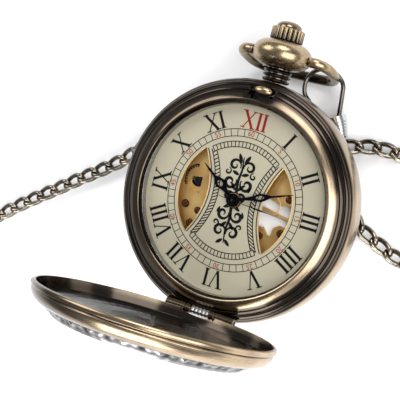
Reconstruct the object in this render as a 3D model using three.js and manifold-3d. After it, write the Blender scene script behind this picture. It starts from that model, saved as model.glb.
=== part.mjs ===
// A mechanical pocket watch with a hinged front cover, a see-through back, and its curb chain.
// Millimetres. The watch lies on its back: +Z leaves the dial, +Y points to 12 o'clock, and the
// origin is the centre of the flat back. The front cover stands open, the bow is folded behind the
// pendant, and the case rests on two layers of its own chain, which lies on the table.

import * as THREE from 'three';
import { mergeVertices } from 'three/addons/utils/BufferGeometryUtils.js';
import Module from 'manifold-3d';

const wasm = await Module();
wasm.setup();

// ---- driving dimensions ---------------------------------------------------------------------
const CASE_R = 23.5;            // widest part of the case flank
const RIM_Z = 12.8;             // front face of the case rim
const CAVITY_R = 21.1;          // inside of the case band
const DIAL_R = 18.9;
const DIAL_Z = 11.25;           // front face of the dial
const GAP = 0.3;                // clearance between pieces that only rest on each other
const ROUND = 24;               // sides of the large turned rings

const STEM_Z = 5.72;            // height of the stem, crown, pendant and bow pivots
const PENDANT_Y = 29.0;         // middle of the pendant ball
const BOW_FOLD = 107;           // degrees the bow is turned back from upright
const BOW_WIRE = 1.05;          // radius of the bow wire

const HINGE = [0, -22.1, 13.2]; // axis of the cover hinge, along X
const HINGE_HALF = 7.1;
const PIN_R = 0.42;
const KNUCKLE_R = 1.05;
const COVER_OPEN = 85;          // degrees the cover stands open
const COVER_Z = 13.3;           // rim plane of the closed cover

const PLATE_Z = [7.4, 8.6];     // main plate
const PLATE_R = 18.1;
const BRIDGE_Z = [3.3, 4.2];    // bridges
const BARREL = [-9.6, 1.2];     // arbors, seen from the dial side
const THIRD = [3.6, -4.9];
const ESCAPE = [5.44, 2.19];
const PALLET = [7.6, 4.95];
const BALANCE = [10.7, -0.1];
const MINUTE_WORK = [0, -4.9];
const CROWN_WHEEL = [-2.6, 7.62];

const CHAIN_D = 3.4;            // width of the chain, which is also its lying height
const TABLE_Z = -2 * CHAIN_D - 0.5;
const CHAIN_Z = TABLE_Z + CHAIN_D / 2 + 0.05;
const COIL = { x: -4, r: 17.3 };

const HOUR_ANGLE = -54.2;       // degrees clockwise from 12: ten, eleven minutes and 42 seconds
const MINUTE_ANGLE = 70.2;
const SECONDS_ANGLE = 94;

// ---- materials ------------------------------------------------------------------------------
const material = (color, roughness, metalness = 1) =>
  new THREE.MeshStandardMaterial({ color, roughness, metalness });
const bronze = () => material(0x8a7048, 0.35);
const dark = () => material(0x2c2a28, 0.25);
const gilt = () => material(0xc89a50, 0.35);
const steel = () => material(0xb4b4b8, 0.25);
const blued = () => material(0x14141a, 0.3);
const iron = () => material(0x4a453c, 0.35);
const screwBrown = () => material(0x8a3018, 0.2);
const glass = () => {
  const clear = material(0xffffff, 0.05, 0);
  clear.transparent = true;
  clear.opacity = 0.25;
  return clear;
};

// ---- small tools ----------------------------------------------------------------------------
const radians = THREE.MathUtils.degToRad;
const polar = (r, degrees) => [r * Math.cos(radians(degrees)), r * Math.sin(radians(degrees))];

/** Bare, merged geometry whose faces point outwards. */
function closed(source) {
  const bare = source.clone();
  bare.deleteAttribute('normal');
  bare.deleteAttribute('uv');
  const merged = mergeVertices(bare, 1e-5);
  const p = merged.attributes.position;
  const index = merged.index.array;
  const [a, b, c] = [new THREE.Vector3(), new THREE.Vector3(), new THREE.Vector3()];
  let volume = 0;
  const kept = [];
  for (let i = 0; i < index.length; i += 3) {
    const corners = [index[i], index[i + 1], index[i + 2]];
    if (new Set(corners).size < 3) continue;
    kept.push(...corners);
    a.fromBufferAttribute(p, corners[0]);
    b.fromBufferAttribute(p, corners[1]);
    c.fromBufferAttribute(p, corners[2]);
    volume += a.dot(b.cross(c));
  }
  if (volume < 0) kept.reverse();
  merged.setIndex(kept);
  return merged;
}

function toManifold(source) {
  const g = closed(source);
  return new wasm.Manifold(new wasm.Mesh({
    numProp: 3,
    vertProperties: new Float32Array(g.attributes.position.array),
    triVerts: new Uint32Array(g.index.array),
  }));
}

function fromManifold(solid) {
  const mesh = solid.getMesh();
  const g = new THREE.BufferGeometry();
  g.setAttribute('position', new THREE.BufferAttribute(new Float32Array(mesh.vertProperties), 3));
  g.setIndex(Array.from(mesh.triVerts));
  return g;
}

const cut = (body, ...tools) =>
  fromManifold(tools.reduce((left, tool) => left.subtract(toManifold(tool)), toManifold(body)));
const join = (first, ...others) =>
  fromManifold(others.reduce((left, body) => left.add(toManifold(body)), toManifold(first)));

/** A profile of [radius, height] points turned about +Y. */
function turnedY(profile, segments = 32) {
  const points = profile.map(([r, h]) => new THREE.Vector2(r, h));
  if (profile[0][0] > 0) points.push(points[0].clone());
  return new THREE.LatheGeometry(points, segments);
}
const turned = (profile, segments = 32) => turnedY(profile, segments).rotateX(Math.PI / 2);
const turnedX = (profile, segments = 20) => turnedY(profile, segments).rotateZ(-Math.PI / 2);

const ringProfile = (inner, outer, low, high) =>
  [[inner, low], [outer, low], [outer, high], [inner, high]];
const discProfile = (r, low, high) => [[0, low], [r, low], [r, high], [0, high]];
const disc = (r, low, high, segments = 24) => turned(discProfile(r, low, high), segments);
const ring = (inner, outer, low, high, segments = 24) =>
  turned(ringProfile(inner, outer, low, high), segments);
const rodX = (r, from, to, y, z, segments = 16) =>
  turnedX(discProfile(r, from, to), segments).translate(0, y, z);
const rodY = (r, from, to, z = STEM_Z, segments = 16) =>
  turnedY(discProfile(r, from, to), segments).translate(0, 0, z);
const at = (geometry, [x, y]) => geometry.translate(x, y, 0);

function box([x0, x1], [y0, y1], [z0, z1]) {
  return new THREE.BoxGeometry(x1 - x0, y1 - y0, z1 - z0)
    .translate((x0 + x1) / 2, (y0 + y1) / 2, (z0 + z1) / 2);
}

function plate(shape, [low, high], curveSegments = 12) {
  return new THREE.ExtrudeGeometry(shape, { depth: high - low, bevelEnabled: false, curveSegments })
    .translate(0, 0, low);
}

const outline = (points) => new THREE.Shape(points.map(([x, y]) => new THREE.Vector2(x, y)));

/** Round-section rod along a smooth line through the points. */
function sweep(points, r, steps, sides = 8) {
  const path = new THREE.CatmullRomCurve3(points.map((p) => new THREE.Vector3(...p)), false, 'centripetal');
  const section = outline(Array.from({ length: sides }, (_, k) => polar(r, (360 / sides) * k)));
  return new THREE.ExtrudeGeometry(section, { steps, extrudePath: path, bevelEnabled: false });
}

const circlePath = (r, sides) =>
  new THREE.Path(Array.from({ length: sides }, (_, k) =>
    new THREE.Vector2(...polar(r, (-360 / sides) * k))));

/** A toothed disc. Teeth are narrower than their gaps, so meshed wheels run clear. */
function gear(teeth, pitch, [low, high], { bore = 0, depth = 0.5, phase = 0, spokes = 0 } = {}) {
  const step = 360 / teeth;
  const points = Array.from({ length: teeth }, (_, k) => [
    polar(pitch + 0.35 * depth, phase + k * step),
    polar(pitch - depth, phase + (k + 0.5) * step),
  ]).flat();
  const shape = outline(points);
  if (bore) shape.holes.push(circlePath(bore, 12));
  for (let k = 0; k < spokes; k++) {
    const [a0, a1] = [radians((k * 360) / spokes + 14), radians(((k + 1) * 360) / spokes - 14)];
    const window = new THREE.Path().absarc(0, 0, 0.8 * pitch, a0, a1, false);
    window.absarc(0, 0, 0.36 * pitch, a1, a0, true);
    shape.holes.push(window);
  }
  return plate(shape, [low, high], 2);
}

/** A flat ribbon wound in a spiral. */
function spiral(inner, outer, turns, thickness, [low, high], perTurn = 20) {
  const count = Math.round(turns * perTurn);
  const edge = (offset) => Array.from({ length: count + 1 }, (_, k) =>
    polar(inner + ((outer - inner) * k) / count + offset, (360 * k) / perTurn));
  return plate(outline([...edge(thickness / 2), ...edge(-thickness / 2).reverse()]), [low, high]);
}

const watch = new THREE.Group();
function add(name, geometry, finish, parent = watch) {
  const mesh = new THREE.Mesh(closed(geometry), finish);
  mesh.name = name;
  parent.add(mesh);
  return mesh;
}

// ---- case -----------------------------------------------------------------------------------
const stemHole = (from, to, r = 1.0) => rodY(r, from, to);

function caseBand() {
  const flank = [[CAVITY_R, 1.9], [22.35, 1.9], [23.0, 4.0], [CASE_R, 7.0], [CASE_R, 9.6],
    [23.35, 11.2], [22.95, 12.3], [22.3, RIM_Z], [CAVITY_R, RIM_Z]];
  const hingeNotch = box([-7.4, 7.4], [-25, -20.9], [11.95, 14]);
  const latchNotch = box([-2.3, 2.3], [20.9, 22.4], [10.9, 14]);
  const band = cut(turned(flank, ROUND), hingeNotch, latchNotch, stemHole(20, 25));
  const lugs = [-1, 1].flatMap((side) => {
    const [x0, x1] = side > 0 ? [2.1, 3.0] : [-3.0, -2.1];
    return [rodX(KNUCKLE_R, x0, x1, HINGE[1], HINGE[2]), box([x0, x1], [-22.7, -21.3], [11.7, 13.0])];
  });
  return cut(join(band, ...lugs), rodX(PIN_R + 0.08, -8, 8, HINGE[1], HINGE[2]));
}
add('case_band', caseBand(), bronze());

function frontBezel() {
  const profile = [[18.35, 13.15], [18.8, 13.65], [19.4, 13.95], [20.0, 13.85], [20.4, 13.4], [20.6, 13.0],
    [20.95, 12.95], [20.95, 11.5], [19.1, 11.5], [19.1, 13.15]];
  return cut(turned(profile, ROUND), box([-2.2, 2.2], [19.5, 22], [11, 14.5]));
}
add('front_bezel', frontBezel(), bronze());
add('front_crystal', disc(18.95, 12.7, 13.05, ROUND), glass());
add('rehaut_ring', turned([[18.3, 11.35], [18.95, 11.35], [18.95, 12.6], [18.5, 12.6]], ROUND), dark());

const backProfile = [[17.3, 0], [21.25, 0], [21.8, 0.5], [22.25, 1.6], [21.0, 1.6], [21.0, 2.9],
  [18.4, 2.9], [18.4, 1.7], [17.3, 0.5]];
add('back_bezel', turned(backProfile, ROUND), bronze());
// The back crystal is flat in its middle and falls away a little towards its edge.
const backGlass = [[0, 0], [9.0, 0], [16.5, 0.12], [17.0, 0.3], [17.0, 0.55], [18.1, 1.75], [18.1, 2.2],
  [0, 2.2]];
add('back_crystal', turned(backGlass, ROUND), glass());
add('movement_ring', cut(ring(18.3, 20.9, 3.1, 10.7, ROUND), stemHole(17, 22)), gilt());

// ---- dial and hands -------------------------------------------------------------------------
function dialWindow(side) {
  const corner = radians(46);
  const arc = 11.6;
  const waist = 5.6;
  const top = [arc * Math.cos(corner), arc * Math.sin(corner)];
  const path = new THREE.Path();
  path.moveTo(side * top[0], -top[1]);
  path.quadraticCurveTo(side * (2 * waist - top[0]), 0, side * top[0], top[1]);
  if (side > 0) path.absarc(0, 0, arc, corner, -corner, true);
  else path.absarc(0, 0, arc, Math.PI - corner, Math.PI + corner, false);
  return path;
}

function dial() {
  const shape = new THREE.Shape().absarc(0, 0, DIAL_R, 0, 2 * Math.PI, false);
  shape.holes.push(new THREE.Path().absarc(0, 0, 1.6, 0, 2 * Math.PI, true), dialWindow(1), dialWindow(-1));
  return plate(shape, [DIAL_Z - 0.4, DIAL_Z], 12);
}
add('dial', dial(), material(0xb8ae90, 0.5, 0));

/** A leaf hand pointing to 12, then turned clockwise. */
function hand(length, tail, widths, hub, bore, levels, degrees) {
  const right = widths.map(([f, w]) => [w / 2, f * length]);
  const left = right.slice().reverse().map(([x, y]) => [-x, y]);
  const blade = plate(outline([[0.3, -tail], ...right, [0, length], ...left, [-0.3, -tail]]), levels);
  const solid = join(blade, disc(hub, ...levels, 20));
  return cut(solid, disc(bore, levels[0] - 1, levels[1] + 1, 16)).rotateZ(-radians(degrees));
}
const hourLeaf = [[0.2, 0.7], [0.45, 1.9], [0.62, 1.2], [0.78, 1.5], [0.86, 0.5]];
const minuteLeaf = [[0.15, 0.6], [0.4, 1.3], [0.6, 0.9], [0.8, 0.9], [0.88, 0.35]];
add('hour_hand', hand(9.3, 0.5, hourLeaf, 1.35, 0.95, [11.55, 11.75], HOUR_ANGLE), blued());
add('minute_hand', hand(12.3, 0.5, minuteLeaf, 1.1, 0.42, [11.95, 12.12], MINUTE_ANGLE), blued());
const secondsNeedle = [[0.5, 0.32], [0.9, 0.22]];
add('seconds_hand', hand(12.1, 3.2, secondsNeedle, 0.75, 0.2, [12.32, 12.44], SECONDS_ANGLE), blued());

// ---- motion work, between the main plate and the dial ----------------------------------------
const tube = (inner, outer, low, high) => ring(inner, outer, low, high, 12);
add('hour_wheel', join(gear(24, 3.92, [9.9, 10.3], { bore: 1.0 }), tube(1.0, 1.4, 9.9, 11.5)), gilt());
const cannonPinion = join(gear(8, 1.225, [9.1, 9.6], { bore: 0.45, depth: 0.28 }),
  tube(0.45, 0.9, 9.0, 11.9));
add('cannon_pinion', cannonPinion, steel());
const minuteWheel = join(gear(24, 3.675, [9.15, 9.5], { bore: 0.4, depth: 0.35, phase: 90 + 7.5 }),
  gear(6, 0.98, [9.5, 10.4], { bore: 0.4, depth: 0.3, phase: 90 + 30 }));
add('minute_wheel', at(minuteWheel, MINUTE_WORK), gilt());

// ---- plate and bridges ----------------------------------------------------------------------
function mainPlate() {
  const disk = disc(PLATE_R, ...PLATE_Z, ROUND);
  const hole = ([x, y], r, segments = 24) => at(disc(r, PLATE_Z[0] - 1, PLATE_Z[1] + 1, segments), [x, y]);
  const stud = at(disc(0.32, PLATE_Z[1] - 0.3, 10.35, 10), MINUTE_WORK);
  return join(cut(disk, hole([0, 0], 1.2), hole([-9.4, 0.6], 5.4, 20), hole(BALANCE, 5.7, 20),
    hole(THIRD, 0.4, 10), hole([0, 12.9], 1.2, 12)), stud);
}
add('main_plate', mainPlate(), gilt());

const pillar = (xy, r = 1.2) => at(disc(r, BRIDGE_Z[0], PLATE_Z[0] - 0.02, 14), xy);
const bridgeHole = (xy, r) => at(disc(r, BRIDGE_Z[0] - 1, BRIDGE_Z[1] + 0.05, 20), xy);

/** The part of a 17.6 mm disc on one side of a line of points. */
function bridgeSector(points) {
  const sector = toManifold(disc(17.6, ...BRIDGE_Z, ROUND)).intersect(toManifold(plate(outline(points),
    [BRIDGE_Z[0] - 1, BRIDGE_Z[1] + 1])));
  return fromManifold(sector);
}

function barrelBridge() {
  const sector = bridgeSector([[-20, -15.5], [-8.6, -11.4], [-3.2, -1.5], [1.8, 4.2], [5.5, 20], [-20, 20]]);
  const solid = join(sector, pillar([-12.6, -10.6]), pillar([-6.5, 15.2]), pillar([3.4, 15.0]));
  return cut(solid, bridgeHole(BARREL, 1.3), bridgeHole(CROWN_WHEEL, 4.3));
}
add('barrel_bridge', barrelBridge(), gilt());

function trainBridge() {
  const sector = bridgeSector([[-9.6, -20], [-7.8, -11.6], [-2.4, -2.0], [2.4, 3.6], [6.6, 4.4], [7.0, 0],
    [8.2, -6.4], [7.4, -20]]);
  const solid = join(sector, pillar([-6.6, -14.2]), pillar([6.2, -14.8]));
  return cut(solid, bridgeHole([0, 0], 0.5), bridgeHole(THIRD, 0.4), bridgeHole(ESCAPE, 0.4));
}
add('train_bridge', trainBridge(), gilt());

function balanceCock() {
  const shape = outline([[16.6, -5.2], [13.6, -10.8], [8.9, -8.6], [8.9, -0.9], [9.4, 1.6], [11.4, 1.6],
    [12.0, -0.9], [13.0, -4.6]]);
  return cut(join(plate(shape, BRIDGE_Z), pillar([13.6, -8.2], 1.4)), bridgeHole(BALANCE, 0.4));
}
add('balance_cock', balanceCock(), gilt());

// ---- barrel and winding ---------------------------------------------------------------------
const bearing = ([x, y]) => (180 / Math.PI) * Math.atan2(y, x);
const toBarrel = bearing(BARREL);

function barrelDrum() {
  const drum = turned([[0.9, 6.85], [7.3, 6.85], [7.3, 6.05], [7.6, 6.05], [7.6, 7.2], [0.9, 7.2]], 32);
  const teeth = gear(40, 8.05, [6.75, 7.2], { bore: 7.4, depth: 0.4, phase: toBarrel + 180 });
  return at(join(drum, teeth), BARREL);
}
add('barrel', barrelDrum(), steel());
add('mainspring', at(spiral(1.4, 6.9, 4, 0.3, [6.1, 6.8], 10), BARREL), steel());
const barrelArbor = turned([[0, 2.96], [1.1, 2.96], [1.1, 6.0], [0.75, 6.05], [0.75, 8.4], [0, 8.4]], 16);
add('barrel_arbor', at(barrelArbor, BARREL), steel());
add('ratchet_wheel', at(gear(26, 5.6, [2.5, 2.94], { depth: 0.45, phase: 42.5 }), BARREL), steel());
const ratchetScrew = cut(disc(1.6, 2.28, 2.48, 16), box([-2, 2], [-0.15, 0.15], [2.1, 2.36]));
add('ratchet_screw', at(ratchetScrew, BARREL), screwBrown());
const crownWheel = join(gear(18, 3.9, [2.5, 2.94], { bore: 0.8, depth: 0.45, phase: 222.5 + 180 / 18 }),
  ring(3.0, 3.4, 2.9, 4.05, 20));
add('crown_wheel', at(crownWheel, CROWN_WHEEL), steel());
const crownScrew = turned([[0, 2.28], [1.3, 2.28], [1.3, 2.48], [0.6, 2.48], [0.6, 3.2], [0, 3.2]], 16);
add('crown_wheel_screw', at(crownScrew, CROWN_WHEEL), screwBrown());
const click = outline([[-15.9, -1.4], [-15.0, -2.6], [-14.2, -3.9], [-15.3, -6.2], [-16.5, -4.6]]);
add('click', plate(click, [2.5, 2.9]), steel());

const onStem = (profile, segments = 16) => turnedY(profile, segments).translate(0, 0, STEM_Z);
function toothedSleeve(y0, y1) {
  const teeth = gear(14, 1.2, [y0, y1], { depth: 0.25, bore: 0.72 }).rotateX(-Math.PI / 2);
  return cut(teeth.translate(0, 0, STEM_Z), rodY(0.7, y0 - 1, y1 + 1));
}
add('winding_pinion', toothedSleeve(10.0, 11.6), steel());
add('sliding_clutch', toothedSleeve(12.1, 13.7), steel());
add('winding_stem', onStem([[0, 9.3], [0.6, 9.3], [0.6, 31.0], [0, 31.0]], 14), steel());

// ---- going train ----------------------------------------------------------------------------
const toThird = bearing(THIRD);
const toEscape = bearing(ESCAPE);
const centreWheel = join(gear(48, 5.404, [5.5, 5.8], { bore: 0.45, depth: 0.35, spokes: 4, phase: toThird }),
  gear(8, 1.61, [5.8, 7.2], { bore: 0.45, depth: 0.35, phase: toBarrel + 180 / 8 }),
  tube(0.45, 0.85, 7.1, 8.95));
add('centre_wheel', centreWheel, gilt());
const thirdWheel = join(gear(45, 5.365, [4.95, 5.25], { depth: 0.35, phase: toThird + 180 + 4, spokes: 4 }),
  gear(6, 0.676, [5.25, 5.9], { depth: 0.25, phase: toThird + 180 + 30 }), disc(0.28, 3.6, 8.3, 8));
add('third_wheel', at(thirdWheel, THIRD), gilt());
const secondsPinion = gear(6, 0.715, [4.8, 5.3], { depth: 0.25, phase: toThird });
const fourthWheel = join(gear(50, 5.32, [4.5, 4.8], { depth: 0.3, spokes: 4, phase: toEscape }),
  secondsPinion, disc(0.34, 3.6, 12.28, 12));
add('fourth_wheel', fourthWheel, gilt());

function escapeWheel() {
  const points = [];
  for (let k = 0; k < 15; k++) {
    points.push(polar(2.4, 24 * k), polar(1.75, 24 * k + 3), polar(1.75, 24 * k + 18));
  }
  const pinion = gear(5, 0.532, [4.4, 4.86], { depth: 0.2, phase: toEscape + 180 + 36 });
  return at(join(plate(outline(points), [6.1, 6.3]), pinion, disc(0.2, 3.6, 7.2, 8)), ESCAPE);
}
add('escape_wheel', escapeWheel(), gilt());

function palletFork() {
  const fork = outline([[0, 0.6], [-2.0, 1.9], [-2.5, 1.3], [-1.7, 0.5], [-0.5, -0.4], [1.2, -3.4],
    [1.9, -2.9], [0.6, 0.4], [2.3, 1.0], [2.1, 1.6]]);
  return at(join(plate(fork, [5.85, 6.02]), disc(0.2, 4.6, 7.2, 8)), PALLET);
}
add('pallet_fork', palletFork(), steel());

function balanceWheel() {
  const rim = ring(4.5, 5.2, 6.55, 6.95, 20);
  const arms = box([-4.6, 4.6], [-0.35, 0.35], [6.62, 6.88]);
  return cut(join(rim, arms, disc(1.1, 6.6, 6.9, 10)), disc(0.35, 6, 7.5, 12)).translate(...BALANCE, 0);
}
add('balance_wheel', balanceWheel(), gilt());
const staff = turned([[0, 3.7], [0.18, 3.7], [0.3, 5.0], [0.3, 7.1], [0, 7.3]], 12);
add('balance_staff', at(staff, BALANCE), steel());
add('hairspring', at(spiral(0.55, 2.3, 3, 0.1, [5.5, 5.7], 10), BALANCE), blued());

// ---- pendant, crown and bow -----------------------------------------------------------------
const neck = [[1.0, 23.6], [2.75, 23.6], [2.75, 24.1], [2.35, 24.3], [2.7, 24.55], [2.7, 24.95], [2.3, 25.15],
  [2.6, 25.4], [2.6, 25.7], [1.0, 25.7]];
add('pendant_neck', onStem(neck, 16), bronze());

function pendantBall() {
  const profile = [[1.0, 25.75], [3.0, 25.75], [4.9, 26.7], [5.8, 28.8], [5.3, 30.8], [3.8, 31.9],
    [3.5, 30.9], [1.0, 30.9]];
  const sides = [-1, 1].flatMap((side) => [
    box(side > 0 ? [5.6, 7] : [-7, -5.6], [26, 32], [2, 9.5]),
    rodX(0.6, side > 0 ? 3.8 : -7, side > 0 ? 7 : -3.8, PENDANT_Y, STEM_Z),
  ]);
  return cut(onStem(profile, 20), ...sides);
}
add('pendant_ball', pendantBall(), bronze());

function crown() {
  const flutes = 16;
  const points = [];
  for (let k = 0; k < flutes; k++) {
    const a = (360 / flutes) * k;
    points.push(polar(3.25, a - 5), polar(3.25, a + 5), polar(2.85, a + 10));
  }
  const knob = plate(outline(points), [-34.3, -31.7]).rotateX(Math.PI / 2).translate(0, 0, STEM_Z);
  return join(knob, onStem([[0, 31.05], [2.9, 31.05], [3.2, 31.5], [3.0, 31.9], [0, 31.9]], 16));
}
add('crown', crown(), bronze());
const dome = [[0, 34.35], [2.5, 34.35], [2.35, 34.9], [1.7, 35.4], [0.9, 35.65], [0, 35.7]];
add('crown_cap', onStem(dome, 20), bronze());

const bowGroup = new THREE.Group();
bowGroup.position.set(0, PENDANT_Y, STEM_Z);
bowGroup.rotation.x = -radians(BOW_FOLD);
watch.add(bowGroup);
const halfBow = [[5.95, 0], [7.2, 0.15], [8.4, 1.2], [9.1, 3.2], [9.2, 6.2], [8.9, 9.0], [7.7, 11.2],
  [5.2, 12.2]];
const bowSide = (side) => halfBow.map(([x, y]) => [side * x, y, 0]);
const bowLine = [...bowSide(1), [0, 12.35, 0], ...bowSide(-1).reverse()];
add('bow', sweep(bowLine, BOW_WIRE, 32, 8), bronze(), bowGroup);
for (const [name, from] of [['bow_screw_right', 3.9], ['bow_screw_left', -5.9]]) {
  add(name, rodX(0.5, from, from + 2, 0, 0), iron(), bowGroup);
}

// ---- latch ----------------------------------------------------------------------------------
const tongue = outline([[20.3, 11.7], [21.3, 11.7], [21.3, 12.6], [21.8, 12.75], [21.8, 13.05], [21.0, 13.5],
  [20.3, 13.5]]);
const tongueSolid = plate(tongue, [-1.6, 1.6]).rotateY(Math.PI / 2).rotateX(Math.PI / 2);
add('latch_tongue', tongueSolid, bronze());

// ---- cover and hinge ------------------------------------------------------------------------
add('hinge_pin', rodX(PIN_R, -HINGE_HALF, HINGE_HALF, HINGE[1], HINGE[2]), gilt());

function hingeSpring() {
  const ribs = 5;
  const width = 3.8 / ribs;
  const profile = [];
  for (let k = 0; k < ribs; k++) {
    const x = -1.9 + k * width;
    profile.push([0.78, x], [0.98, x + 0.3 * width], [0.98, x + 0.7 * width]);
  }
  profile.push([0.78, 1.9], [PIN_R + 0.06, 1.9], [PIN_R + 0.06, -1.9]);
  return turnedX(profile, 12).translate(0, HINGE[1], HINGE[2]);
}
add('hinge_spring', hingeSpring(), steel());

const cover = new THREE.Group();
cover.position.set(...HINGE);
cover.rotation.x = radians(COVER_OPEN);
watch.add(cover);
const inCover = (geometry) => geometry.translate(-HINGE[0], -HINGE[1], -HINGE[2]);

function coverRim() {
  const z = COVER_Z;
  const profile = [[21.15, z], [21.7, z], [21.9, z + 0.4], [21.8, z + 0.95], [21.45, z + 1.15],
    [21.6, z + 1.45], [21.3, z + 2.3], [20.6, z + 3.1], [19.6, z + 3.6], [18.9, z + 3.7],
    [18.9, z + 3.2], [20.0, z + 2.7], [20.85, z + 2.0], [21.05, z + 1.0]];
  const knuckles = [-1, 1].flatMap((side) => {
    const [x0, x1] = side > 0 ? [3.15, HINGE_HALF] : [-HINGE_HALF, -3.15];
    return [rodX(KNUCKLE_R, x0, x1, HINGE[1], HINGE[2]), box([x0, x1], [-22.1, -20.6], [13.35, 14.2])];
  });
  const clearance = rodX(1.35, -3.15, 3.15, HINGE[1], HINGE[2]);
  const pinHole = rodX(PIN_R + 0.06, -8, 8, HINGE[1], HINGE[2]);
  return cut(join(turned(profile, ROUND), ...knuckles), clearance, pinHole);
}
add('cover_rim', inCover(coverRim()), bronze(), cover);
const shell = [[0, COVER_Z + 4.2], [12, COVER_Z + 4.0], [18.7, COVER_Z + 3.1], [18.7, COVER_Z + 3.65],
  [17.2, COVER_Z + 4.5], [12, COVER_Z + 4.85], [0, COVER_Z + 5.0]];
add('cover_relief_plate', inCover(turned(shell, ROUND)), iron(), cover);
add('cover_inner_plate', inCover(disc(20.4, COVER_Z + 1.95, COVER_Z + 2.2, ROUND)), dark(), cover);

// ---- clasp ----------------------------------------------------------------------------------
const hookLine = [[11.1, 20.2, -5.0], [11.1, 22.4, -4.2], [11.0, 25.0, -3.5], [10.6, 27.0, -3.3],
  [8.9, 28.5, -3.3], [6.9, 29.1, -3.5], [4.7, 28.5, -3.8], [3.2, 27.0, -4.05], [2.8, 25.2, -4.2],
  [3.2, 23.3, -4.5], [4.5, 22.0, -4.8]];
add('clasp_hook', sweep(hookLine, 0.62, 22, 6), steel());
add('clasp_gate', sweep([[5.1, 21.6, -5.0], [7.2, 20.4, -5.2], [9.2, 19.3, -5.4]], 0.45, 8), steel());
const swivelAxis = new THREE.Vector3(0.5, -0.86, -0.1).normalize();
const swivelProfile = [[0, 0], [1.6, 0], [1.6, 1.2], [1.4, 1.5], [1.45, 2.0], [1.2, 3.2], [0.8, 4.2],
  [0, 4.2]];
const swivel = turnedY(swivelProfile, 18);
swivel.applyQuaternion(new THREE.Quaternion().setFromUnitVectors(new THREE.Vector3(0, 1, 0), swivelAxis));
add('clasp_swivel', swivel.translate(11.25, 19.5, -5.25), steel());

// ---- chain ----------------------------------------------------------------------------------
// From the clasp out to the right, round a loop on the table and back to the coil under the case.
const rightRun = [[15.0, 15.5], [17.0, 16.1], [20.6, 16.6], [24.8, 16.4], [29.0, 15.9], [33.2, 14.2],
  [37.0, 11.0], [39.4, 6.6], [39.8, 2.0], [37.6, -2.0], [34.2, -3.8], [30.2, -3.4], [25.9, -1.8],
  [22.2, -0.1], [19.3, 2.1]];
// From the coil out to the left, ending beside the bar.
const leftRun = [[-24.6, 8.3, -4.6], [-28.4, 4.6, -5.2], [-32.6, 0.4, CHAIN_Z], [-37.2, -3.2, CHAIN_Z],
  [-41.7, -6.4, CHAIN_Z], [-46.0, -9.6, CHAIN_Z], [-50.3, -12.7, CHAIN_Z], [-54.7, -16.0, CHAIN_Z],
  [-59.0, -19.5, CHAIN_Z], [-62.2, -22.1, CHAIN_Z]];
const TUBE_R = 1.5;
add('chain_run_right', sweep(rightRun.map(([x, y]) => [x, y, CHAIN_Z]), TUBE_R, 22), iron());
add('chain_run_left', sweep(leftRun, TUBE_R, 12), iron());
const [coilIn, coilOut] = [COIL.r - CHAIN_D, COIL.r + CHAIN_D];
add('chain_coil', ring(coilIn, coilOut, TABLE_Z, -GAP, ROUND).translate(COIL.x, 0, 0), iron());

// The bar that passes through a buttonhole, with its ring.
const barAxis = new THREE.Vector3(-0.954, 0.3, 0);
const barHalf = [[0, -8.5], [0.9, -8.2], [1.3, -7.3], [1.0, -6.5], [1.0, 6.5], [1.3, 7.3], [0.9, 8.2],
  [0, 8.5]];
const bar = turnedY(barHalf, 14);
bar.applyQuaternion(new THREE.Quaternion().setFromUnitVectors(new THREE.Vector3(0, 1, 0), barAxis));
add('chain_bar', bar.translate(-65.6, -27.6, TABLE_Z + 1.35), steel());
const link = turned([[1.5, -0.45], [2.4, -0.45], [2.4, 0.45], [1.5, 0.45]], 20);
add('bar_ring', link.rotateX(0.4).rotateZ(radians(40)).translate(-64.5, -24.0, TABLE_Z + 1.5), steel());

export default watch;
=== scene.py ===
# The looks of the pocket watch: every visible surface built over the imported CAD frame.
# Lengths are written in millimetres and scaled once, in shape().
import math

import bmesh
import bpy
from mathutils import Matrix, Vector


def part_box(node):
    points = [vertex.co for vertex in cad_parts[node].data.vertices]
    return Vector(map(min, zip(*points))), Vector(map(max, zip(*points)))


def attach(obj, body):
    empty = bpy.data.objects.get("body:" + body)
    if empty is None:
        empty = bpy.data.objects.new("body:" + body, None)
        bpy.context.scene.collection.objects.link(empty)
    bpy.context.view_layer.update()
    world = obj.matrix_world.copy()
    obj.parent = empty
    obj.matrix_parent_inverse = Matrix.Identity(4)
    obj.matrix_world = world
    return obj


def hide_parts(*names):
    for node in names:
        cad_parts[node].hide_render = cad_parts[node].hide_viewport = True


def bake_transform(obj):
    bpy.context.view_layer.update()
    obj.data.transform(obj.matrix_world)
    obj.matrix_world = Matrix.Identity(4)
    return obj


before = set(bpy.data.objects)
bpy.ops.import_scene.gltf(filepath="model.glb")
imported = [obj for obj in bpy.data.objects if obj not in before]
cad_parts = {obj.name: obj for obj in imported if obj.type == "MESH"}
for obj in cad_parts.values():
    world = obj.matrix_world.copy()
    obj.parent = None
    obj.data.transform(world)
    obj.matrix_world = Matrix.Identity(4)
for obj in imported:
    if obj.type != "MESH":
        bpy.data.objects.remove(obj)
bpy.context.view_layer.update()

MM = 0.001
TAU = 2 * math.pi
FINE = 160                       # sides of the large turned pieces
SMALL = 48                       # sides of the small ones


def box_mm(node):
    """Lowest and highest corner of a CAD node, in millimetres."""
    low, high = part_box(node)
    return Vector(low) / MM, Vector(high) / MM


def top(node):
    return box_mm(node)[1].z


def bottom(node):
    return box_mm(node)[0].z


def middle(node):
    low, high = box_mm(node)
    return (low + high) / 2


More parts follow.
